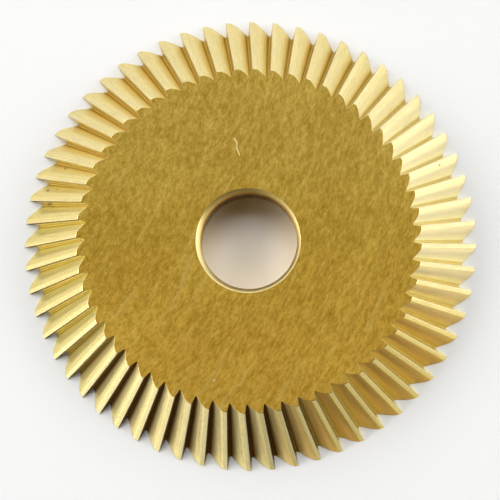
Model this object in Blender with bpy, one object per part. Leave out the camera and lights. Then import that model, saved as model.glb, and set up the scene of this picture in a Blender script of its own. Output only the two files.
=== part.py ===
"""Single-angle side milling cutter: a toothed conical disc in one piece, with a plain chamfered bore.

The disc lies on its flat back face. The origin is the centre of that face, +Z is the axis of the bore
and points out of the front face, and one tooth has its tip on +Y. Sizes are in metres.
"""

import math

import bmesh
import bpy
from mathutils import Matrix, Vector

# Driving dimensions of the disc.
OUTSIDE_DIAMETER = 0.060
THICKNESS = 0.006
CONE_ANGLE = math.radians(40.0)  # between the toothed side and the flat back face
BORE_DIAMETER = 0.0127
BORE_CHAMFER = 0.00055

# Driving dimensions of the teeth. The rim is the edge of the back face, where the teeth are largest,
# and the front is the face where they run out. Depths and widths lie in those two planes. The rake
# faces are parallel to the axis. A tooth's land bends over the nose into its straight back.
TOOTH_COUNT = 60
RAKE_ANGLE = math.radians(4.8)  # between the rake face and the radius at the tip, as an undercut
EDGE_MARGIN = 0.00006  # narrow strip of the cone left along each cutting edge
RIM_LAND_WIDTH = 0.0003
RIM_LAND_SLOPE = math.radians(9.0)
RIM_NOSE_RADIUS = 0.0016
RIM_TOOTH_DEPTH = 0.0019
RIM_ROOT_RADIUS = 0.00026
FRONT_LAND_WIDTH = 0.00025
FRONT_LAND_SLOPE = math.radians(11.0)
FRONT_NOSE_RADIUS = 0.0007
FRONT_TOOTH_DEPTH = 0.00117
FRONT_ROOT_RADIUS = 0.00018

# Fineness of the curved surfaces.
NOSE_STEPS = 8
ROOT_STEPS = 14
BORE_STEPS_PER_TOOTH = 2
MERGE_DISTANCE = 0.000001

# Finish: dull gold, as on tool steel with a hard coating.
COATING_COLOUR = (0.43, 0.28, 0.045, 1.0)
COATING_METALLIC = 1.0
COATING_ROUGHNESS = 0.34
SMOOTH_BELOW = math.radians(10.0)

PITCH = 2.0 * math.pi / TOOTH_COUNT
RIM_RADIUS = OUTSIDE_DIAMETER / 2.0
FRONT_RADIUS = RIM_RADIUS - THICKNESS / math.tan(CONE_ANGLE)
BORE_RADIUS = BORE_DIAMETER / 2.0
EDGE_OFFSET = RIM_RADIUS * math.sin(RAKE_ANGLE)  # how far the line of a rake face passes from the axis


def clear_scene():
    """Remove whatever the open file holds."""
    for scene_object in list(bpy.data.objects):
        bpy.data.objects.remove(scene_object, do_unlink=True)


def polar(radius, angle):
    """Plan point at an angle measured clockwise from +Y, as seen from the front."""
    return Vector((radius * math.sin(angle), radius * math.cos(angle)))


def clockwise(vector, angle):
    """The plan vector turned clockwise."""
    return Matrix.Rotation(-angle, 2) @ vector


def edge_angle(radius):
    """Angle by which a cutting edge trails its own tip at this radius."""
    return math.asin(EDGE_OFFSET / radius) - math.asin(EDGE_OFFSET / RIM_RADIUS)


def heading(vector):
    """Angle of a plan vector in the usual sense, from +X towards +Y."""
    return math.atan2(vector.y, vector.x)


def arc(centre, radius, first, sweep, steps):
    """Plan points on an arc, both ends included, from a first heading over a sweep."""
    points = []
    for step in range(steps + 1):
        angle = first + sweep * step / steps
        points.append(centre + radius * Vector((math.cos(angle), math.sin(angle))))
    return points


def root_centre(corner, inward, root_radius, floor_radius):
    """Centre of the root arc, which touches the rake face and whose lowest point is at floor_radius.

    The rake face runs from the cutting corner in the inward direction, and the root lies in front of
    it. The centre is where a line beside the rake face first meets the circle that the centre is on.
    """
    ahead = clockwise(inward, math.pi / 2.0)
    start = corner + ahead * root_radius
    along = start.dot(inward)
    surplus = start.length_squared - (floor_radius + root_radius) ** 2
    return start + inward * (-along - math.sqrt(along ** 2 - surplus))


def tooth_outline(corner_radius, land_width, land_slope, nose_radius, depth, root_radius):
    """Plan of one tooth pitch in a plane square to the axis, clockwise from its cutting corner.

    It runs from the cutting corner over the margin and the land, round the nose and down the back into
    the root arc, and up the rake face to the next tooth's cutting corner. The back touches both arcs.
    """
    start = edge_angle(corner_radius)
    corner = polar(corner_radius, start)
    margin_angle = start + EDGE_MARGIN / corner_radius
    land_direction = clockwise(Vector((1.0, 0.0)), margin_angle + land_slope)
    land_end = polar(corner_radius, margin_angle) + land_direction * land_width
    nose_centre = land_end + clockwise(land_direction, math.pi / 2.0) * nose_radius

    next_corner = polar(corner_radius, start + PITCH)
    inward = clockwise(Vector((0.0, -1.0)), PITCH - RAKE_ANGLE)
    root_middle = root_centre(next_corner, inward, root_radius, corner_radius - depth)

    reach = root_middle - nose_centre
    back_square = heading(reach) + math.acos((nose_radius + root_radius) / reach.length)
    nose_first = heading(land_end - nose_centre)
    nose_sweep = -((nose_first - back_square) % (2.0 * math.pi))
    root_first = back_square + math.pi
    root_sweep = (heading(clockwise(inward, -math.pi / 2.0)) - root_first) % (2.0 * math.pi)
    nose = arc(nose_centre, nose_radius, nose_first, nose_sweep, NOSE_STEPS)
    root = arc(root_middle, root_radius, root_first, root_sweep, ROOT_STEPS)
    return [corner, polar(corner_radius, margin_angle)] + nose + root + [next_corner]


def bore_outline(radius):
    """Plan of one pitch of a circle round the axis, clockwise from +Y."""
    return [polar(radius, PITCH * step / BORE_STEPS_PER_TOOTH) for step in range(BORE_STEPS_PER_TOOTH + 1)]


def add_line(mesh, outline, height):
    """Put an outline into the mesh as a line of vertices at one height."""
    return [mesh.verts.new((point.x, point.y, height)) for point in outline]


def add_strip(mesh, first, second):
    """Join two lines of equally many vertices with a strip of faces."""
    for index in range(len(first) - 1):
        mesh.faces.new((first[index], first[index + 1], second[index + 1], second[index]))


def add_pitch(mesh):
    """One pitch of the disc: its toothed side, its share of both flat faces, and of the bore."""
    rim_outline = tooth_outline(
        RIM_RADIUS, RIM_LAND_WIDTH, RIM_LAND_SLOPE, RIM_NOSE_RADIUS, RIM_TOOTH_DEPTH, RIM_ROOT_RADIUS
    )
    front_outline = tooth_outline(
        FRONT_RADIUS,
        FRONT_LAND_WIDTH,
        FRONT_LAND_SLOPE,
        FRONT_NOSE_RADIUS,
        FRONT_TOOTH_DEPTH,
        FRONT_ROOT_RADIUS,
    )
    rim = add_line(mesh, rim_outline, 0.0)
    front = add_line(mesh, front_outline, THICKNESS)
    back_flare = add_line(mesh, bore_outline(BORE_RADIUS + BORE_CHAMFER), 0.0)
    back_wall = add_line(mesh, bore_outline(BORE_RADIUS), BORE_CHAMFER)
    front_wall = add_line(mesh, bore_outline(BORE_RADIUS), THICKNESS - BORE_CHAMFER)
    front_flare = add_line(mesh, bore_outline(BORE_RADIUS + BORE_CHAMFER), THICKNESS)
    add_strip(mesh, rim, front)
    add_strip(mesh, front_flare, front_wall)
    add_strip(mesh, front_wall, back_wall)
    add_strip(mesh, back_wall, back_flare)
    mesh.faces.new(front + front_flare[::-1])
    mesh.faces.new(back_flare + rim[::-1])


def repeat_round_axis(mesh):
    """Copy the pitch round the axis, once for each of the other teeth, and join the copies."""
    bmesh.ops.spin(
        mesh,
        geom=mesh.faces[:],
        cent=(0.0, 0.0, 0.0),
        axis=(0.0, 0.0, 1.0),
        angle=PITCH * (TOOTH_COUNT - 1),
        steps=TOOTH_COUNT - 1,
        use_duplicate=True,
    )
    bmesh.ops.remove_doubles(mesh, verts=mesh.verts, dist=MERGE_DISTANCE)
    bmesh.ops.recalc_face_normals(mesh, faces=mesh.faces)


def coating_material():
    """Gold-coloured hard coating."""
    material = bpy.data.materials.new("gold_coating")
    material.use_nodes = True
    shader = material.node_tree.nodes["Principled BSDF"]
    shader.inputs["Base Color"].default_value = COATING_COLOUR
    shader.inputs["Metallic"].default_value = COATING_METALLIC
    shader.inputs["Roughness"].default_value = COATING_ROUGHNESS
    return material


def make_cutter():
    """The whole cutter as one closed body."""
    mesh = bmesh.new()
    add_pitch(mesh)
    repeat_round_axis(mesh)
    data = bpy.data.meshes.new("cutter")
    mesh.to_mesh(data)
    mesh.free()
    data.shade_smooth()
    data.set_sharp_from_angle(angle=SMOOTH_BELOW)
    data.materials.append(coating_material())
    cutter = bpy.data.objects.new("cutter", data)
    bpy.context.scene.collection.objects.link(cutter)
    return cutter


clear_scene()
make_cutter()
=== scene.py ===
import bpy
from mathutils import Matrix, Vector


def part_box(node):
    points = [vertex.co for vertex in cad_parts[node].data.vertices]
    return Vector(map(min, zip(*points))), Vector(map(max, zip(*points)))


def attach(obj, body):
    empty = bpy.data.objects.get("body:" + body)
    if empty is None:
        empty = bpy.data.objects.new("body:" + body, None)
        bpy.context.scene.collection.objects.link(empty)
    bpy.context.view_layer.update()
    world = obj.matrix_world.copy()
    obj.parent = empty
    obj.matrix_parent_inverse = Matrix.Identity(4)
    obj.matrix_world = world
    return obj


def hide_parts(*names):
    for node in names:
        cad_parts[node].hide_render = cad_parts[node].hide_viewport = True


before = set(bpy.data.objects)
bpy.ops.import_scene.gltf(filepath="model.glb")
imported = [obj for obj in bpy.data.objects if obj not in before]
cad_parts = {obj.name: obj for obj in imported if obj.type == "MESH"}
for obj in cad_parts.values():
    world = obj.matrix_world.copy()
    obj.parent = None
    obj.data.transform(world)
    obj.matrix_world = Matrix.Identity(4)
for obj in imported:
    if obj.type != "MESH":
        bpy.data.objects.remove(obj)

"""Looks of the single-angle milling cutter: its fine mesh, its gold coating, the floor, lamps and camera.

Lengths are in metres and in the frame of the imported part: the disc lies on its flat back face, +Z is the axis
of the bore and points out of the front face, and one tooth has its tip on +Y. Angles round the disc are
clockwise from +Y, as seen from the front.
"""

import math
import random

import bmesh
import bpy
from mathutils import Matrix, Vector

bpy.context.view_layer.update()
CAD_LOW, CAD_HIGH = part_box("cutter")

MM = 0.001

# Form of the disc. The rake faces lean open, more at the front than at the rim, and the backs are curved
# over their whole length. In each tooth's values the turn is the bend from the land to the back, the back
# and the root are radii, and the edge is the rounding of the cutting edge.
THICKNESS = CAD_HIGH.z - CAD_LOW.z
RIM_RADIUS = CAD_HIGH.y
CONE_ANGLE = math.radians(40.0)
FRONT_RADIUS = RIM_RADIUS - THICKNESS / math.tan(CONE_ANGLE)
TOOTH_COUNT = 60
PITCH = 2.0 * math.pi / TOOTH_COUNT
EDGE_LEAN = math.radians(4.8)  # between a cutting edge's plan and the radius at its tip
EDGE_OFFSET = RIM_RADIUS * math.sin(EDGE_LEAN)  # how far the line of a cutting edge passes the axis
RIM_TOOTH = {
    "radius": RIM_RADIUS,
    "land": 0.55 * MM,
    "slope": math.radians(9.0),
    "turn": math.radians(18.0),
    "back": 3.4 * MM,
    "depth": 1.92 * MM,
    "root": 0.14 * MM,
    "rake": math.radians(-4.0),
    "edge": 0.02 * MM,
}
FRONT_TOOTH = {
    "radius": FRONT_RADIUS,
    "land": 0.55 * MM,
    "slope": math.radians(9.0),
    "turn": math.radians(12.0),
    "back": 2.1 * MM,
    "depth": 1.15 * MM,
    "root": 0.10 * MM,
    "rake": math.radians(-9.0),
    "edge": 0.03 * MM,
}
LAND_END_ROUNDING = 0.12 * MM

# Form of the bore.
BORE_RADIUS = 6.35 * MM
BORE_CHAMFER = 0.55 * MM
FLARE_SHIFT = Vector((-0.09, 0.0)) * MM  # the front chamfer is cut a little off centre

# Small roundings that the grinding and the coating leave on the edges.
FRONT_EDGE_BREAK = 0.012 * MM
RIM_EDGE_BREAK = 0.02 * MM
EDGE_SUPPORT = 0.05 * MM  # an extra row of vertices this far from them keeps the shading of the flanks true
SOFTENED_SHARE = 0.35  # of the front edge break, how far in its middle row lies
SOFTENED_DROP = 0.3  # of the front edge break, how far below the face its middle row lies
BORE_EDGE_BREAK = 0.02 * MM
FLARE_EDGE_BREAK = 0.03 * MM

# How much the teeth differ from one another, as a share of the dimension.
LAND_SPREAD = 0.05
DEPTH_SPREAD = 0.02
TOOTH_SEED = 60

# Fineness of the mesh.
FILLET_STEPS = 3
LAND_STEPS = 2
CURVE_STEPS = 12
BACK_STEPS = 3
ROOT_STEPS = 8
RAKE_STEPS = 4
STATIONS = 16  # along a tooth, from the rim to the front face
CIRCLE_STEPS_PER_TOOTH = 8
FACE_RING_RADIUS = FRONT_RADIUS - 1.6 * MM
CIRCLE_LAG = 0.3  # of a pitch, from the rake face to the first point of a circle
NORMAL_WEIGHT = 90  # how much large faces lead the shading of the small ones beside them

# Places of the materials on the mesh.
FACE_SLOT, FLANK_SLOT, BORE_SLOT = 0, 1, 2
TOOTH_PLACE = "tooth_place"  # on the flanks: way round the tooth and up it, and the tooth's number

# Lines that the grinding leaves on the flat faces: arcs round a far point, in millimetres.
LINE_CENTRE = (-95.0, 44.0, 0.0)
LINE_REACH = 105.0
LINE_SPACING = 2.9
LINE_DRIFT = 7.0
LINE_STRENGTH = 0.5

# Noises of the materials: how much longer their features are along each axis of the place, their scale in
# features per millimetre, their detail and their roughness.
FACE_GRAIN = {"stretch": (1.0, 2.5, 1.0), "scale": 1.9, "detail": 4.0, "roughness": 0.9}
FACE_TONE = {"stretch": (1.5, 1.0, 1.0), "scale": 0.12, "detail": 3.0, "roughness": 0.6}
LINE_WANDER = {"stretch": (1.0, 4.0, 1.0), "scale": 0.15, "detail": 3.0, "roughness": 0.6}
LINE_WIDTH = {"stretch": (1.0, 3.0, 1.0), "scale": 0.3, "detail": 2.0, "roughness": 0.5}
LINE_PRESENCE = {"stretch": (1.0, 5.0, 1.0), "scale": 0.35, "detail": 5.0, "roughness": 0.8}
TOOTH_LINES = {"stretch": (0.2, 6.0, 0.13), "scale": 1.0, "detail": 4.0, "roughness": 0.8}
TOOTH_CLOUDS = {"stretch": (0.9, 2.5, 0.13), "scale": 1.0, "detail": 5.0, "roughness": 0.8}
BORE_LINES = {"stretch": (0.2, 5.0, 0.2), "scale": 1.0, "detail": 3.0, "roughness": 0.7}
BORE_CLOUDS = {"stretch": (1.0, 2.0, 1.0), "scale": 0.9, "detail": 4.0, "roughness": 0.7}

# Ranges of a noise's values over which it goes from one side of what it drives to the other.
NOISE_RANGE = (0.3, 0.7)
STREAK_RANGE = (0.25, 0.75)
GRAIN_RANGE = (0.32, 0.68)
TONE_RANGE = (0.35, 0.65)
WEAR_AND_HIGHLIGHT_RANGE = (0.3, 0.6)
PRESENCE_RANGE = (0.48, 0.7)
LINE_EDGES = (0.9, 0.55)  # sine of the phase at which a grinding line begins, from the narrow to the wide ones

# What the colours are multiplied by, from one side of a noise to the other.
TONE_BRIGHTNESS = (0.93, 1.07)
CLOUD_BRIGHTNESS = (0.93, 1.07)
STREAK_BRIGHTNESS = (0.94, 1.06)
BORE_BRIGHTNESS = (0.88, 1.12)

# Ways round a tooth, in millimetres, over which something starts or ends.
WEAR_AND_HIGHLIGHT_REACH = (0.05, 0.20)
LAND_END = (0.4, 0.6)
SECTOR_MATTE_START = (0.6, 0.8)
LOW_BACK_START = (1.2, 2.4)
MARK_EDGE = (0.2, 0.6)  # of the width of a scratch or speck, where it starts to fade and where it has gone

# Depth of the fine relief.
FACE_RELIEF = 0.0035 * MM
FLANK_RELIEF = 0.0012 * MM
BORE_RELIEF = 0.003 * MM
GRAIN_RELIEF_SHARE = 0.7  # of the faces' relief, and the grinding lines have the rest

# Roughness of the coating. The lower backs of the teeth, and one sector of them, are matter than the rest.
FACE_ROUGHNESS = (0.47, 0.39)  # from the dark to the light grain
LAND_ROUGHNESS = 0.20
BACK_ROUGHNESS = 0.25
LINE_ROUGHNESS = 0.04  # what the lines along a tooth add at most
MATTE_ROUGHNESS = 0.14  # what the matte places add
MATTE_SECTOR = (137.0, 18.0, 42.0)  # azimuth, and the half-widths in degrees at which full and none
LOW_BACK_MATTE = 0.9  # share of it that the lower backs have
BORE_ROUGHNESS = (0.28, 0.36)

# Colours of the coating. On the flat faces a fine grain runs between the dark and the light one.
FACE_DARK = (0.325, 0.178, 0.006, 1.0)
FACE_LIGHT = (0.815, 0.550, 0.115, 1.0)
FACE_BROWN = (0.575, 0.322, 0.033, 1.0)
FACE_OLIVE = (0.535, 0.395, 0.081, 1.0)
FACE_LINE = (0.820, 0.610, 0.170, 1.0)
TONE_STRENGTH = 0.15
FACE_PAINTED_LIGHT = (  # painted light: what the faces' colour is multiplied by, by the way towards +Y in millimetres, lighter and warmer towards the near side
    (-15.0, (1.15, 1.08, 0.88, 1.0)),
    (0.0, (0.98, 0.955, 0.79, 1.0)),
    (14.0, (0.92, 0.95, 0.98, 1.0)),
)
TOP_COLOUR = (0.920, 0.775, 0.370, 1.0)
BACK_COLOUR = (0.860, 0.710, 0.311, 1.0)
LOW_COLOUR = (0.980, 0.840, 0.390, 1.0)
# Painted shade in the roots of the teeth.
ROOT_PAINTED_SHADE = (0.660, 0.490, 0.140, 1.0)
RAKE_COLOUR = (0.850, 0.740, 0.390, 1.0)
# Paler cutting edges, partly wear and partly a painted highlight.
EDGE_WEAR_AND_HIGHLIGHT_COLOUR = (0.930, 0.840, 0.560, 1.0)
CHAMFER_DARK = (0.920, 0.770, 0.330, 1.0)
CHAMFER_LIGHT = (0.980, 0.900, 0.460, 1.0)
WALL_COLOUR = (0.800, 0.550, 0.170, 1.0)
WALL_END = BORE_RADIUS / MM + 0.05  # distance from the axis, in millimetres, at which the wall's colour ends
WALL_FADE = 0.02
FAR_SHADE_SECTOR = (350.0, 30.0, 80.0)  # painted shade where the bore is darker, on its far side: azimuth, and half-widths of full and none
FAR_PAINTED_SHADE = (0.48, 0.42, 0.30, 1.0)

# Colour of a tooth by the way round it from its cutting edge, in millimetres as measured at the rim. The
# darker, more saturated root colour is painted shade.
TOOTH_COLOURS = (
    (0.50, TOP_COLOUR),
    (0.60, BACK_COLOUR),
    (1.9, BACK_COLOUR),
    (2.9, LOW_COLOUR),
    (3.3, ROOT_PAINTED_SHADE),
    (3.8, ROOT_PAINTED_SHADE),
    (4.0, RAKE_COLOUR),
)
# How strongly the cutting edges are paled, partly as wear and partly as a painted highlight.
EDGE_WEAR_AND_HIGHLIGHT = 0.7

# Painted light and shade: sectors whose teeth look different in the photograph by what they mirror there,
# painted into their colour. Sectors of the disc whose teeth look different in the photograph, most likely
# by what they mirror there.
# Each has its azimuth, the half-widths in degrees at which the difference is full and none, and what the
# colour is multiplied by, by the way round the tooth. The factors were set from measured ratios of
# the photograph to a render, and a colour times its factor may come a little above 1.
# Painted shade on the lower backs, roots and rakes of the far teeth.
FAR_TEETH_PAINTED_SHADE = (
    (2.00, (1.00, 1.00, 1.00, 1.0)),
    (2.70, (0.84, 0.76, 0.58, 1.0)),
    (3.15, (0.55, 0.44, 0.25, 1.0)),
    (3.40, (0.80, 0.72, 0.50, 1.0)),
    (3.80, (0.80, 0.72, 0.50, 1.0)),
    (4.10, (0.85, 0.80, 0.72, 1.0)),
)
# Painted highlight: the teeth on the right paler and brighter.
RIGHT_TEETH_PAINTED_HIGHLIGHT = (
    (0.60, (1.00, 1.00, 1.10, 1.0)),
    (1.00, (1.08, 1.10, 1.32, 1.0)),
    (2.80, (1.00, 1.07, 1.42, 1.0)),
    (4.00, (1.10, 1.18, 1.50, 1.0)),
)
# Painted shade on the backs of the lower right teeth, and painted light on their rakes.
LOWER_RIGHT_PAINTED_SHADE_AND_LIGHT = (
    (0.60, (1.08, 1.00, 0.68, 1.0)),
    (0.80, (0.98, 0.72, 0.34, 1.0)),
    (2.20, (0.66, 0.48, 0.28, 1.0)),
    (3.00, (0.50, 0.40, 0.28, 1.0)),
    (3.40, (0.78, 0.74, 0.60, 1.0)),
    (3.90, (1.20, 1.20, 1.00, 1.0)),
)
# Painted shade in the roots of the near teeth.
NEAR_ROOTS_PAINTED_SHADE = (
    (2.60, (1.00, 1.00, 1.00, 1.0)),
    (3.10, (0.75, 0.66, 0.55, 1.0)),
    (3.40, (0.20, 0.13, 0.07, 1.0)),
)
# Painted light and shade on the left teeth: paler rakes, and a dark band beyond them.
LEFT_TEETH_PAINTED_LIGHT_AND_SHADE = (
    (0.90, (1.00, 0.98, 0.86, 1.0)),
    (1.40, (1.02, 1.00, 0.86, 1.0)),
    (2.00, (1.10, 1.12, 1.00, 1.0)),
    (2.70, (1.00, 1.02, 0.74, 1.0)),
    (3.30, (1.00, 0.98, 0.66, 1.0)),
    (3.70, (0.90, 0.92, 0.70, 1.0)),
    (4.00, (0.93, 0.98, 1.35, 1.0)),
    (4.50, (0.93, 0.98, 1.35, 1.0)),
    (4.80, (0.22, 0.18, 0.10, 1.0)),
)
PAINTED_LIGHT_SECTORS = (
    (345.0, 40.0, 72.0, FAR_TEETH_PAINTED_SHADE),
    (75.0, 20.0, 42.0, RIGHT_TEETH_PAINTED_HIGHLIGHT),
    (137.0, 18.0, 42.0, LOWER_RIGHT_PAINTED_SHADE_AND_LIGHT),
    (200.0, 28.0, 46.0, NEAR_ROOTS_PAINTED_SHADE),
    (262.0, 16.0, 36.0, LEFT_TEETH_PAINTED_LIGHT_AND_SHADE),
)
SCRATCH_PALE = (0.95, 0.88, 0.70, 1.0)
SCRATCH_BRIGHT = (1.00, 0.83, 0.36, 1.0)
SCRATCH_GOLD = (0.75, 0.56, 0.17, 1.0)
PIT_DARK = (0.10, 0.05, 0.02, 1.0)
STAIN_ORANGE = (0.62, 0.33, 0.06, 1.0)

# Scratches and specks: the two ends in plan and the width, in millimetres, the colour and the strength.
FACE_MARKS = (
    ((-1.86, 13.59), (-1.55, 13.04), 0.25, SCRATCH_BRIGHT, 0.9),
    ((-1.55, 13.04), (-1.52, 12.28), 0.22, SCRATCH_BRIGHT, 0.7),
    ((-1.52, 12.28), (-1.21, 11.39), 0.22, SCRATCH_BRIGHT, 0.9),
    ((-1.93, 8.51), (-3.19, 6.53), 0.30, SCRATCH_GOLD, 0.6),
    ((-7.44, -1.79), (-9.03, -6.15), 0.55, SCRATCH_GOLD, 0.4),
    ((-9.03, -6.15), (-10.36, -9.19), 0.55, SCRATCH_GOLD, 0.25),
    ((-5.73, -4.85), (-7.06, -7.89), 0.50, SCRATCH_GOLD, 0.3),
    ((17.54, -7.01), (15.41, -12.02), 0.60, SCRATCH_GOLD, 0.3),
    ((-4.61, -18.52), (-4.59, -18.44), 0.26, SCRATCH_PALE, 0.8),
)
FLANK_MARKS = (
    ((-24.45, 10.22), (-24.37, 10.32), 0.26, PIT_DARK, 0.8),
    ((-26.82, 7.45), (-26.76, 7.49), 0.30, PIT_DARK, 0.8),
    ((-25.50, 7.45), (-25.44, 7.49), 0.35, STAIN_ORANGE, 0.5),
    ((-26.75, 5.55), (-26.40, 5.62), 0.34, PIT_DARK, 0.6),
    ((25.13, 10.22), (25.17, 10.32), 0.26, PIT_DARK, 0.6),
    ((19.65, -13.42), (19.77, -13.50), 0.35, STAIN_ORANGE, 0.6),
    ((19.46, -19.98), (19.58, -20.06), 0.35, STAIN_ORANGE, 0.6),
)

# The floor.
FLOOR_RADIUS = 3.0
FLOOR_GAP = 0.01 * MM
FLOOR_COLOUR = (0.93, 0.93, 0.92, 1.0)
FLOOR_ROUGHNESS = 0.9
FLOOR_SIDES = 64

# Softboxes all round, in rows by elevation: width and height, and the radiance by azimuth, where 1 is white.
# Azimuths are clockwise from +Y. The near side, at 180 degrees, is the dark side. The radiances weren't
# chosen by hand: they are the rounded result of a least-squares fit to the photograph by another program.
LAMP_DISTANCE = 1.6
SKIRT_RADIANCES = {
    0.0: 0.84,
    22.5: 0.95,
    45.0: 1.38,
    67.5: 2.01,
    90.0: 2.05,
    112.5: 1.13,
    135.0: 0.72,
    157.5: 0.44,
    202.5: 0.94,
    225.0: 1.48,
    247.5: 2.35,
    270.0: 1.25,
    292.5: 0.74,
    315.0: 0.69,
    337.5: 0.71,
}
LOW_RADIANCES = {
    0.0: 0.90,
    22.5: 0.85,
    90.0: 0.24,
    112.5: 0.81,
    135.0: 0.75,
    157.5: 0.68,
    180.0: 0.64,
    202.5: 0.80,
    225.0: 0.97,
    247.5: 0.10,
    270.0: 0.30,
    292.5: 1.29,
    315.0: 1.20,
    337.5: 0.90,
}
MIDDLE_RADIANCES = {0.0: 1.05, 45.0: 2.20, 90.0: 4.71, 225.0: 0.11, 270.0: 6.99, 315.0: 3.61}
HIGH_RADIANCES = {0.0: 3.42, 270.0: 0.35}
SOFTBOX_ROWS = (
    ("skirt", 4.0, (0.65, 0.27), SKIRT_RADIANCES),
    ("low", 14.0, (0.65, 0.28), LOW_RADIANCES),
    ("middle", 28.0, (1.15, 0.5), MIDDLE_RADIANCES),
    ("high", 57.0, (1.2, 0.9), HIGH_RADIANCES),
)
WORLD_COLOUR = (0.0, 0.0, 0.0, 1.0)

# A dark card lies on the floor beyond the near edge of the picture, to give the near teeth their depth.
# Its corners are in plan, in millimetres.
CARD_CORNERS = ((-70.0, -36.0), (70.0, -36.0), (140.0, -200.0), (-140.0, -200.0))
CARD_LIFT = 0.05 * MM
CARD_COLOUR = (0.012, 0.012, 0.012, 1.0)
CARD_ROUGHNESS = 0.5

# The camera stands as in the photograph: nearly overhead, a little to the near side and to the right.
# Its values are rounded from a fit to the cutter's outline there.
IMAGE_WIDTH = 500
PIXELS_PER_METRE = 7545.0
SENSOR_WIDTH_MM = 36.0
CAMERA_DISTANCE = 0.9
CAMERA_TILT = math.radians(6.8)
CAMERA_AZIMUTH = math.radians(15.0)
CAMERA_ROLL = math.radians(-0.33)
AIM_POINT = Vector((-0.04, -0.567, 0.0)) * MM


def polar(radius, angle):
    """Plan point at an angle measured clockwise from +Y."""
    return Vector((radius * math.sin(angle), radius * math.cos(angle)))


def clockwise(vector, angle):
    """The plan vector turned clockwise."""
    return Matrix.Rotation(-angle, 2) @ vector


def edge_angle(radius):
    """Angle by which a cutting edge trails its own tip at this radius."""
    return math.asin(EDGE_OFFSET / radius) - math.asin(EDGE_OFFSET / RIM_RADIUS)


def heading(vector):
    """Angle of a plan vector in the usual sense, from +X towards +Y."""
    return math.atan2(vector.y, vector.x)


def arc(centre, radius, first, sweep, steps):
    """Plan points on an arc, both ends included, from a first heading over a sweep."""
    points = []
    for step in range(steps + 1):
        angle = first + sweep * step / steps
        points.append(centre + radius * Vector((math.cos(angle), math.sin(angle))))
    return points


def fillet(before, corner, after, radius):
    """Points of the arc that rounds a corner of a plan outline."""
    inbound = (before - corner).normalized()
    outbound = (after - corner).normalized()
    half = inbound.angle(outbound) / 2.0
    centre = corner + (inbound + outbound).normalized() * radius / math.sin(half)
    start = corner + inbound * radius / math.tan(half) - centre
    end = corner + outbound * radius / math.tan(half) - centre
    first = heading(start)
    sweep = (heading(end) - first + math.pi) % (2.0 * math.pi) - math.pi
    return arc(centre, radius, first, sweep, FILLET_STEPS)


def between(start, end, steps):
    """Points that divide a straight run evenly, without its two ends."""
    return [start.lerp(end, step / steps) for step in range(1, steps)]


def root_centre(corner, inward, root_radius, floor_radius):
    """Centre of the root arc, which touches the rake face and whose lowest point is at floor_radius."""
    start = corner + clockwise(inward, math.pi / 2.0) * root_radius
    along = start.dot(inward)
    surplus = start.length_squared - (floor_radius + root_radius) ** 2
    return start + inward * (-along - math.sqrt(along ** 2 - surplus))


def tooth_outline(form, land_factor, depth_factor):
    """Plan of one tooth pitch in a plane square to the axis, clockwise from its rounded cutting edge.

    It runs over the land, turns into the curved back and down it into the root, and up the next tooth's
    rake face, and stops short of that tooth's rounded edge.
    """
    radius = form["radius"]
    start = edge_angle(radius)
    corner = polar(radius, start)
    land_direction = clockwise(Vector((1.0, 0.0)), start + form["slope"])
    land_end = corner + land_direction * form["land"] * land_factor
    back_direction = clockwise(land_direction, form["turn"])
    back_centre = land_end + clockwise(back_direction, math.pi / 2.0) * form["back"]

    inward = clockwise(Vector((0.0, -1.0)), start - form["rake"])
    next_inward = clockwise(inward, PITCH)
    next_corner = polar(radius, start + PITCH)
    floor_radius = radius - form["depth"] * depth_factor
    root_middle = root_centre(next_corner, next_inward, form["root"], floor_radius)

    reach = root_middle - back_centre
    back_square = heading(reach) + math.acos((form["back"] + form["root"]) / reach.length)
    curve_first = heading(land_end - back_centre)
    curve_sweep = -((curve_first - back_square) % (2.0 * math.pi))
    curve = arc(back_centre, form["back"], curve_first, curve_sweep, CURVE_STEPS)
    root_first = back_square + math.pi
    root_sweep = (heading(clockwise(next_inward, -math.pi / 2.0)) - root_first) % (2.0 * math.pi)
    root = arc(root_middle, form["root"], root_first, root_sweep, ROOT_STEPS)

    edge = fillet(corner + inward, corner, corner + land_direction, form["edge"])
    turn = fillet(corner, land_end, land_end + back_direction, LAND_END_ROUNDING)
    rake_end = next_corner + next_inward * (corner - edge[0]).length
    points = edge + between(edge[-1], turn[0], LAND_STEPS) + turn + curve[1:]
    points += between(curve[-1], root[0], BACK_STEPS) + root
    return points + between(root[-1], rake_end, RAKE_STEPS)


def outline_pairs():
    """The rim outline and the front outline of every tooth in turn, each tooth a little different."""
    draw = random.Random(TOOTH_SEED)
    pairs = []
    for tooth in range(TOOTH_COUNT):
        land_factor = 1.0 + draw.uniform(-LAND_SPREAD, LAND_SPREAD)
        depth_factor = 1.0 - draw.uniform(0.0, DEPTH_SPREAD)
        turn = PITCH * tooth
        rim = [clockwise(p, turn) for p in tooth_outline(RIM_TOOTH, land_factor, depth_factor)]
        front = [clockwise(p, turn) for p in tooth_outline(FRONT_TOOTH, land_factor, depth_factor)]
        pairs.append((rim, front))
    return pairs


def inset(outline, distance):
    """A closed clockwise outline moved into the metal."""
    moved = []
    for index, point in enumerate(outline):
        along = outline[(index + 1) % len(outline)] - outline[index - 1]
        moved.append(point + clockwise(along, math.pi / 2.0).normalized() * distance)
    return moved


def circle(radius, shift=Vector((0.0, 0.0))):
    """A closed circle with the same number of points for every tooth, the first of them under a tooth."""
    count = TOOTH_COUNT * CIRCLE_STEPS_PER_TOOTH
    first = edge_angle(FACE_RING_RADIUS) + CIRCLE_LAG * PITCH
    return [polar(radius, first + PITCH * step / CIRCLE_STEPS_PER_TOOTH) + shift for step in range(count)]


def add_ring(mesh, outline, height):
    """Put a closed outline into the mesh as vertices at one height."""
    return [mesh.verts.new((point.x, point.y, height)) for point in outline]


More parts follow.
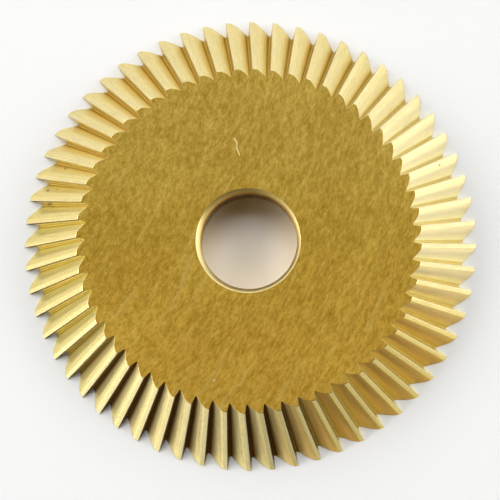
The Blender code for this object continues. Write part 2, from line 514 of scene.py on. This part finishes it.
def loft(mesh, first, second, slot):
    """Join two closed rings of equally many vertices with a band of faces. Returns the faces."""
    faces = []
    for index in range(len(first)):
        after = (index + 1) % len(first)
        face = mesh.faces.new((first[index], first[after], second[after], second[index]))
        face.material_index = slot
        faces.append(face)
    return faces


def cap(mesh, toothed, ring, up):
    """Fill the flat annulus between a toothed ring and a circle, one face for each tooth."""
    per_tooth = len(toothed) // TOOTH_COUNT
    for tooth in range(TOOTH_COUNT):
        outer = [toothed[(tooth * per_tooth + step) % len(toothed)] for step in range(per_tooth + 1)]
        first = tooth * CIRCLE_STEPS_PER_TOOTH
        inner = [ring[(first + step) % len(ring)] for step in range(CIRCLE_STEPS_PER_TOOTH + 1)]
        corners = outer + inner[::-1]
        face = mesh.faces.new(corners if up else corners[::-1])
        face.material_index = FACE_SLOT


def lengths_along(outline):
    """Way along an open outline to each of its points, in millimetres."""
    lengths = [0.0]
    for before, after in zip(outline, outline[1:]):
        lengths.append(lengths[-1] + (after - before).length / MM)
    return lengths


def note_places(mesh, faces, lengths, low, high):
    """Write on the corners of a band of flank faces where they lie on their teeth."""
    layer = mesh.loops.layers.float_vector.get(TOOTH_PLACE)
    per_tooth = len(faces) // TOOTH_COUNT
    for index, face in enumerate(faces):
        tooth, step = divmod(index, per_tooth)
        before, after = lengths[step], lengths[step + 1]
        places = ((before, low), (after, low), (after, high), (before, high))
        for loop, (across, up) in zip(face.loops, places):
            loop[layer] = (across, up, tooth)


def station_shares():
    """Shares of the height at which the flanks have their rows of vertices, from the rim upwards."""
    support = EDGE_SUPPORT / THICKNESS
    low = RIM_EDGE_BREAK / THICKNESS
    high = 1.0 - FRONT_EDGE_BREAK / THICKNESS
    first = low + support
    last = high - support
    inner = [first + (last - first) * station / STATIONS for station in range(STATIONS + 1)]
    return [low] + inner + [high]


def add_toothed_side(mesh):
    """The toothed cone, with its broken edges. Returns its rings on the back and front faces."""
    mesh.loops.layers.float_vector.new(TOOTH_PLACE)
    pairs = outline_pairs()
    lengths = lengths_along(pairs[0][0] + pairs[1][0][:1])
    rim = [point for pair in pairs for point in pair[0]]
    front = [point for pair in pairs for point in pair[1]]
    rings = [add_ring(mesh, inset(rim, RIM_EDGE_BREAK), 0.0)]
    for share in station_shares():
        outline = [a.lerp(b, share) for a, b in zip(rim, front)]
        rings.append(add_ring(mesh, outline, THICKNESS * share))
    softened = inset(front, FRONT_EDGE_BREAK * SOFTENED_SHARE)
    rings.append(add_ring(mesh, softened, THICKNESS - FRONT_EDGE_BREAK * SOFTENED_DROP))
    rings.append(add_ring(mesh, inset(front, FRONT_EDGE_BREAK), THICKNESS))
    for first, second in zip(rings, rings[1:]):
        faces = loft(mesh, first, second, FLANK_SLOT)
        low = first[0].co.z / math.sin(CONE_ANGLE) / MM
        high = second[0].co.z / math.sin(CONE_ANGLE) / MM
        note_places(mesh, faces, lengths, low, high)
    return rings[0], rings[-1]


def add_bore(mesh, front_ring, back_ring):
    """The flat faces inside the ring circles, the chamfers and the wall of the bore."""
    flare = BORE_RADIUS + BORE_CHAMFER
    opening = flare + FLARE_EDGE_BREAK
    bend = BORE_RADIUS + BORE_EDGE_BREAK
    wall_start = THICKNESS - BORE_CHAMFER
    top = add_ring(mesh, circle(opening, FLARE_SHIFT), THICKNESS)
    top_edge = add_ring(mesh, circle(flare, FLARE_SHIFT), THICKNESS - BORE_EDGE_BREAK)
    wall_top = add_ring(mesh, circle(bend), wall_start + BORE_EDGE_BREAK)
    wall_high = add_ring(mesh, circle(BORE_RADIUS), wall_start - BORE_EDGE_BREAK)
    wall_low = add_ring(mesh, circle(BORE_RADIUS), BORE_CHAMFER + BORE_EDGE_BREAK)
    wall_bottom = add_ring(mesh, circle(bend), BORE_CHAMFER - BORE_EDGE_BREAK)
    low_edge = add_ring(mesh, circle(flare), BORE_EDGE_BREAK)
    low = add_ring(mesh, circle(opening), 0.0)
    loft(mesh, front_ring, top, FACE_SLOT)
    wall = [top, top_edge, wall_top, wall_high, wall_low, wall_bottom, low_edge, low]
    for first, second in zip(wall, wall[1:]):
        loft(mesh, first, second, BORE_SLOT)
    loft(mesh, low, back_ring, FACE_SLOT)


def add_object(name, mesh):
    """Put a finished mesh into the scene as an object."""
    data = bpy.data.meshes.new(name)
    mesh.to_mesh(data)
    mesh.free()
    scene_object = bpy.data.objects.new(name, data)
    bpy.context.scene.collection.objects.link(scene_object)
    return scene_object


def make_cutter():
    """The whole cutter as one closed fine mesh."""
    mesh = bmesh.new()
    rim_ring, front_ring = add_toothed_side(mesh)
    front_circle = add_ring(mesh, circle(FACE_RING_RADIUS), THICKNESS)
    back_circle = add_ring(mesh, circle(FACE_RING_RADIUS), 0.0)
    cap(mesh, front_ring, front_circle, True)
    cap(mesh, rim_ring, back_circle, False)
    add_bore(mesh, front_circle, back_circle)
    bmesh.ops.recalc_face_normals(mesh, faces=mesh.faces)
    cutter = add_object("cutter_finish", mesh)
    cutter.data.shade_smooth()
    weighting = cutter.modifiers.new("weighting", "WEIGHTED_NORMAL")
    weighting.weight = NORMAL_WEIGHT
    for material in (face_material(), flank_material(), bore_material()):
        cutter.data.materials.append(material)
    return cutter


def new_material(name):
    """An empty material with its shader. Returns the material, its tree and the shader."""
    material = bpy.data.materials.new(name)
    material.use_nodes = True
    tree = material.node_tree
    return material, tree, tree.nodes["Principled BSDF"]


def put(tree, value, socket):
    """Give an input socket a plain value, or link it to an output socket."""
    if isinstance(value, bpy.types.NodeSocket):
        tree.links.new(value, socket)
    else:
        socket.default_value = value


def add_node(tree, kind, links=None, **settings):
    """Add a node. The links give its inputs, by name or by place, a value or an output socket each."""
    node = tree.nodes.new(kind)
    for name, value in settings.items():
        setattr(node, name, value)
    for key, value in (links or {}).items():
        put(tree, value, node.inputs[key])
    return node


def arithmetic(tree, operation, first, second=0.0):
    """One step of arithmetic on values."""
    return add_node(tree, "ShaderNodeMath", {0: first, 1: second}, operation=operation).outputs[0]


def scaled(tree, first, second):
    """Product of two values."""
    return arithmetic(tree, "MULTIPLY", first, second)


def add_values(tree, first, second):
    """Sum of two values."""
    return arithmetic(tree, "ADD", first, second)


def vector_step(tree, operation, first, second):
    """One step of arithmetic on vectors."""
    return add_node(tree, "ShaderNodeVectorMath", {0: first, 1: second}, operation=operation).outputs[0]


def span(tree, vector):
    """Length of a vector."""
    return add_node(tree, "ShaderNodeVectorMath", {0: vector}, operation="LENGTH").outputs["Value"]


def product(tree, first, second):
    """Dot product of two vectors."""
    links = {0: first, 1: second}
    return add_node(tree, "ShaderNodeVectorMath", links, operation="DOT_PRODUCT").outputs["Value"]


def combine(tree, first, second, third):
    """A vector from three values."""
    return add_node(tree, "ShaderNodeCombineXYZ", {0: first, 1: second, 2: third}).outputs[0]


def millimetres(tree):
    """Place on the object in millimetres."""
    place = add_node(tree, "ShaderNodeTexCoord").outputs["Object"]
    return vector_step(tree, "MULTIPLY", place, (1.0 / MM, 1.0 / MM, 1.0 / MM))


def flat_place(tree):
    """Place in plan, in millimetres."""
    return vector_step(tree, "MULTIPLY", millimetres(tree), (1.0, 1.0, 0.0))


def sector_share(tree, azimuth, full, none):
    """Share that is 1 within a half-width, in degrees, of an azimuth on the disc, and 0 outside another."""
    place = flat_place(tree)
    towards = polar(1.0, math.radians(azimuth))
    cosine = arithmetic(tree, "DIVIDE", product(tree, place, (towards.x, towards.y, 0.0)), span(tree, place))
    return remap(tree, cosine, math.cos(math.radians(none)), math.cos(math.radians(full)))


def round_point(tree, centre, reach):
    """Distance from an upright line through a point, way round it at a given reach, and height."""
    shifted = vector_step(tree, "SUBTRACT", millimetres(tree), centre)
    parts = add_node(tree, "ShaderNodeSeparateXYZ", {0: shifted}).outputs
    radius = span(tree, combine(tree, parts[0], parts[1], 0.0))
    angle = arithmetic(tree, "ARCTAN2", parts[1], parts[0])
    return radius, scaled(tree, angle, reach), parts[2]


def stretched_noise(tree, place, stretch, scale, detail, roughness):
    """Noise between 0 and 1 whose features are longer along some axes of the place than its scale says."""
    shares = tuple(1.0 / length for length in stretch)
    vector = vector_step(tree, "MULTIPLY", place, shares)
    links = {"Vector": vector, "Scale": scale, "Detail": detail, "Roughness": roughness}
    return add_node(tree, "ShaderNodeTexNoise", links).outputs["Fac"]


def remap(tree, value, low, high, to_low=0.0, to_high=1.0):
    """A value moved from one range to another, and held inside it."""
    links = {"Value": value, "From Min": low, "From Max": high, "To Min": to_low, "To Max": to_high}
    return add_node(tree, "ShaderNodeMapRange", links).outputs["Result"]


def mix_colours(tree, share, first, second):
    """A colour between two others."""
    node = add_node(tree, "ShaderNodeMix", {0: share, 6: first, 7: second}, data_type="RGBA")
    return node.outputs[2]


def colour_along(tree, value, stops):
    """A colour that changes along a value, through stops of a value and a colour each."""
    colour = stops[0][1]
    for (before, _), (after, next_colour) in zip(stops, stops[1:]):
        colour = mix_colours(tree, remap(tree, value, before, after), colour, next_colour)
    return colour


def tint(tree, share, colour, factors):
    """A colour multiplied by another one, to a share."""
    links = {0: share, 6: colour, 7: factors}
    return add_node(tree, "ShaderNodeMix", links, data_type="RGBA", blend_type="MULTIPLY").outputs[2]


def brighten(tree, colour, factor):
    """A colour with its value multiplied."""
    return add_node(tree, "ShaderNodeHueSaturation", {"Color": colour, "Value": factor}).outputs[0]


def bump(tree, height, distance):
    """A bump from a height between 0 and 1, its full depth in metres."""
    links = {"Height": height, "Distance": distance, "Strength": 1.0}
    return add_node(tree, "ShaderNodeBump", links).outputs["Normal"]


def mark_mask(tree, place, start, end, width):
    """Share of a mark, 1 along the line between two plan points and 0 beyond its soft edge."""
    run = end - start
    offset = vector_step(tree, "SUBTRACT", place, (start.x, start.y, 0.0))
    along = scaled(tree, product(tree, offset, (run.x, run.y, 0.0)), 1.0 / run.length_squared)
    held = remap(tree, along, 0.0, 1.0)
    nearest = vector_step(tree, "MULTIPLY", combine(tree, held, held, held), (run.x, run.y, 0.0))
    away = span(tree, vector_step(tree, "SUBTRACT", offset, nearest))
    solid, gone = MARK_EDGE
    return remap(tree, away, solid * width, gone * width, 1.0, 0.0)


def add_marks(tree, colour, place, marks):
    """The colour with scratches or specks on it, each with its ends, width, own colour and strength."""
    for start, end, width, mark_colour, strength in marks:
        mask = mark_mask(tree, place, Vector(start), Vector(end), width)
        colour = mix_colours(tree, scaled(tree, mask, strength), colour, mark_colour)
    return colour


def grinding_lines(tree, across, along, height):
    """Share of the long, faint, soft lines that the grinding of the flat faces leaves."""
    place = combine(tree, across, along, height)
    drift = stretched_noise(tree, place, **LINE_WANDER)
    phase = scaled(tree, across, 2.0 * math.pi / LINE_SPACING)
    drifted = add_values(tree, phase, scaled(tree, drift, LINE_DRIFT))
    width = stretched_noise(tree, place, **LINE_WIDTH)
    edge = remap(tree, width, *TONE_RANGE, *LINE_EDGES)
    ridge = remap(tree, arithmetic(tree, "SINE", drifted), edge, 1.0)
    presence = remap(tree, stretched_noise(tree, place, **LINE_PRESENCE), *PRESENCE_RANGE)
    return scaled(tree, ridge, presence)


def face_material():
    """Coating over the ground flat faces: fine grain, faint long lines, a few scratches and painted light
    towards the near side.
    """
    material, tree, shader = new_material("ground_face")
    across, along, height = round_point(tree, LINE_CENTRE, LINE_REACH)
    grain = stretched_noise(tree, combine(tree, across, along, height), **FACE_GRAIN)
    tone = stretched_noise(tree, combine(tree, along, across, height), **FACE_TONE)
    lines = grinding_lines(tree, across, along, height)

    hue = mix_colours(tree, remap(tree, tone, *TONE_RANGE), FACE_BROWN, FACE_OLIVE)
    colour = mix_colours(tree, remap(tree, grain, *GRAIN_RANGE), FACE_DARK, FACE_LIGHT)
    colour = mix_colours(tree, TONE_STRENGTH, colour, hue)
    colour = brighten(tree, colour, remap(tree, tone, *TONE_RANGE, *TONE_BRIGHTNESS))
    # Painted light: the flat faces lighter and warmer towards the near side.
    upwards = product(tree, millimetres(tree), (0.0, 1.0, 0.0))
    colour = tint(tree, 1.0, colour, colour_along(tree, upwards, FACE_PAINTED_LIGHT))
    colour = mix_colours(tree, scaled(tree, lines, LINE_STRENGTH), colour, FACE_LINE)
    colour = add_marks(tree, colour, flat_place(tree), FACE_MARKS)
    put(tree, colour, shader.inputs["Base Color"])
    put(tree, 1.0, shader.inputs["Metallic"])
    put(tree, remap(tree, grain, *NOISE_RANGE, *FACE_ROUGHNESS), shader.inputs["Roughness"])
    grain_relief = scaled(tree, grain, GRAIN_RELIEF_SHARE)
    relief = add_values(tree, grain_relief, scaled(tree, lines, 1.0 - GRAIN_RELIEF_SHARE))
    put(tree, bump(tree, relief, FACE_RELIEF), shader.inputs["Normal"])
    return material


def flank_colour(tree, across, lines, clouds):
    """Colour of the teeth, by the way round each tooth, with painted light and shade by the sector, and with
    cutting edges paler from wear and from a painted highlight.
    """
    colour = colour_along(tree, across, TOOTH_COLOURS)
    # Painted light and shade by sector, for what the teeth mirror.
    for azimuth, full, none, painted_tints in PAINTED_LIGHT_SECTORS:
        share = sector_share(tree, azimuth, full, none)
        colour = tint(tree, share, colour, colour_along(tree, across, painted_tints))
    cloudiness = remap(tree, clouds, *NOISE_RANGE, *CLOUD_BRIGHTNESS)
    streaks = remap(tree, lines, *STREAK_RANGE, *STREAK_BRIGHTNESS)
    colour = brighten(tree, colour, scaled(tree, cloudiness, streaks))
    # The cutting edges paler: partly wear, partly a painted highlight along the edge.
    near_edge = remap(tree, across, *WEAR_AND_HIGHLIGHT_REACH, 1.0, 0.0)
    wear_and_highlight = scaled(tree, near_edge, remap(tree, clouds, *WEAR_AND_HIGHLIGHT_RANGE))
    colour = mix_colours(tree, scaled(tree, wear_and_highlight, EDGE_WEAR_AND_HIGHLIGHT), colour, EDGE_WEAR_AND_HIGHLIGHT_COLOUR)
    return add_marks(tree, colour, flat_place(tree), FLANK_MARKS)


def flank_roughness(tree, across, lines):
    """Roughness of the teeth: the lands are the glossiest, the lower backs and one sector the mattest."""
    ground = remap(tree, across, *LAND_END, LAND_ROUGHNESS, BACK_ROUGHNESS)
    streaked = add_values(tree, ground, remap(tree, lines, *NOISE_RANGE, 0.0, LINE_ROUGHNESS))
    sector = scaled(tree, sector_share(tree, *MATTE_SECTOR), remap(tree, across, *SECTOR_MATTE_START))
    low_back = remap(tree, across, *LOW_BACK_START, 0.0, LOW_BACK_MATTE)
    matte = arithmetic(tree, "MAXIMUM", sector, low_back)
    return add_values(tree, streaked, scaled(tree, matte, MATTE_ROUGHNESS))


def flank_material():
    """Coating over the ground teeth: fine lines along each tooth, paler cutting edges from wear and a painted
    highlight, and painted light and shade by sector.
    """
    material, tree, shader = new_material("ground_tooth")
    place = add_node(tree, "ShaderNodeAttribute", attribute_name=TOOTH_PLACE).outputs["Vector"]
    across = add_node(tree, "ShaderNodeSeparateXYZ", {0: place}).outputs[0]
    lines = stretched_noise(tree, place, **TOOTH_LINES)
    clouds = stretched_noise(tree, place, **TOOTH_CLOUDS)
    put(tree, flank_colour(tree, across, lines, clouds), shader.inputs["Base Color"])
    put(tree, 1.0, shader.inputs["Metallic"])
    put(tree, flank_roughness(tree, across, lines), shader.inputs["Roughness"])
    put(tree, bump(tree, lines, FLANK_RELIEF), shader.inputs["Normal"])
    return material


def bore_material():
    """Coating over the turned chamfers and the wall of the bore, with fine lines round the axis and painted
    shade on its far side.
    """
    material, tree, shader = new_material("turned_bore")
    radius, around, height = round_point(tree, (0.0, 0.0, 0.0), BORE_RADIUS / MM)
    place = combine(tree, radius, around, height)
    lines = stretched_noise(tree, place, **BORE_LINES)
    clouds = stretched_noise(tree, place, **BORE_CLOUDS)
    chamfer = mix_colours(tree, remap(tree, clouds, *NOISE_RANGE), CHAMFER_DARK, CHAMFER_LIGHT)
    beyond_wall = remap(tree, radius, WALL_END - WALL_FADE, WALL_END + WALL_FADE)
    colour = mix_colours(tree, beyond_wall, WALL_COLOUR, chamfer)
    # Painted shade on the far side of the bore.
    colour = tint(tree, sector_share(tree, *FAR_SHADE_SECTOR), colour, FAR_PAINTED_SHADE)
    colour = brighten(tree, colour, remap(tree, lines, *STREAK_RANGE, *BORE_BRIGHTNESS))
    put(tree, colour, shader.inputs["Base Color"])
    put(tree, 1.0, shader.inputs["Metallic"])
    put(tree, remap(tree, lines, *NOISE_RANGE, *BORE_ROUGHNESS), shader.inputs["Roughness"])
    put(tree, bump(tree, lines, BORE_RELIEF), shader.inputs["Normal"])
    return material


def plain_material(name, colour, roughness):
    """A plain matt material for what only surrounds the cutter."""
    material, tree, shader = new_material(name)
    put(tree, colour, shader.inputs["Base Color"])
    put(tree, roughness, shader.inputs["Roughness"])
    put(tree, 0.0, shader.inputs["Specular IOR Level"])
    return material


def make_floor():
    """The plain white floor."""
    mesh = bmesh.new()
    bmesh.ops.create_circle(mesh, cap_ends=True, radius=FLOOR_RADIUS, segments=FLOOR_SIDES)
    floor = add_object("floor", mesh)
    floor.location.z = CAD_LOW.z - FLOOR_GAP
    floor.data.materials.append(plain_material("floor_white", FLOOR_COLOUR, FLOOR_ROUGHNESS))
    return floor


def make_card():
    """The dark card, which only the metal sees."""
    mesh = bmesh.new()
    mesh.faces.new([mesh.verts.new((x * MM, y * MM, 0.0)) for x, y in CARD_CORNERS])
    bmesh.ops.recalc_face_normals(mesh, faces=mesh.faces)
    card = add_object("dark_card", mesh)
    card.location.z = CAD_LOW.z + CARD_LIFT
    card.visible_camera = False
    card.visible_diffuse = False
    card.visible_shadow = False
    card.data.materials.append(plain_material("card_black", CARD_COLOUR, CARD_ROUGHNESS))
    return card


def add_softbox(name, azimuth, elevation, size, radiance):
    """An area lamp that faces the cutter, with the radiance of its surface, where 1 is white."""
    width, height = size
    lamp = bpy.data.lights.new(name, "AREA")
    lamp.shape = "RECTANGLE"
    lamp.size = width
    lamp.size_y = height
    lamp.energy = radiance * math.pi * width * height
    softbox = bpy.data.objects.new(name, lamp)
    around = math.radians(azimuth)
    up = math.radians(elevation)
    flat = math.cos(up)
    direction = Vector((math.sin(around) * flat, math.cos(around) * flat, math.sin(up)))
    softbox.location = direction * LAMP_DISTANCE
    softbox.rotation_euler = direction.to_track_quat("Z", "Y").to_euler()
    bpy.context.scene.collection.objects.link(softbox)


def light_scene():
    """The dark studio and its softboxes."""
    world = bpy.data.worlds.new("studio")
    world.use_nodes = True
    world.node_tree.nodes["Background"].inputs["Color"].default_value = WORLD_COLOUR
    bpy.context.scene.world = world
    for row, elevation, size, radiances in SOFTBOX_ROWS:
        for azimuth, radiance in radiances.items():
            add_softbox(f"{row}_{azimuth:03.0f}", azimuth, elevation, size, radiance)


def make_camera():
    """The camera of the photograph."""
    data = bpy.data.cameras.new("camera")
    data.sensor_width = SENSOR_WIDTH_MM
    data.lens = SENSOR_WIDTH_MM * PIXELS_PER_METRE * CAMERA_DISTANCE / IMAGE_WIDTH
    camera = bpy.data.objects.new("camera", data)
    lean_axis = Vector((math.cos(CAMERA_AZIMUTH), math.sin(CAMERA_AZIMUTH), 0.0))
    lean = Matrix.Rotation(CAMERA_TILT, 4, lean_axis)
    roll = Matrix.Rotation(CAMERA_ROLL, 4, "Z")
    direction = lean @ Vector((0.0, 0.0, 1.0))
    camera.matrix_world = Matrix.Translation(AIM_POINT + direction * CAMERA_DISTANCE) @ lean @ roll
    bpy.context.scene.collection.objects.link(camera)
    bpy.context.scene.camera = camera


bpy.context.scene.view_settings.view_transform = "Standard"
cutter = make_cutter()
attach(cutter, "root")
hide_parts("cutter")
make_floor()
make_card()
light_scene()
make_camera()
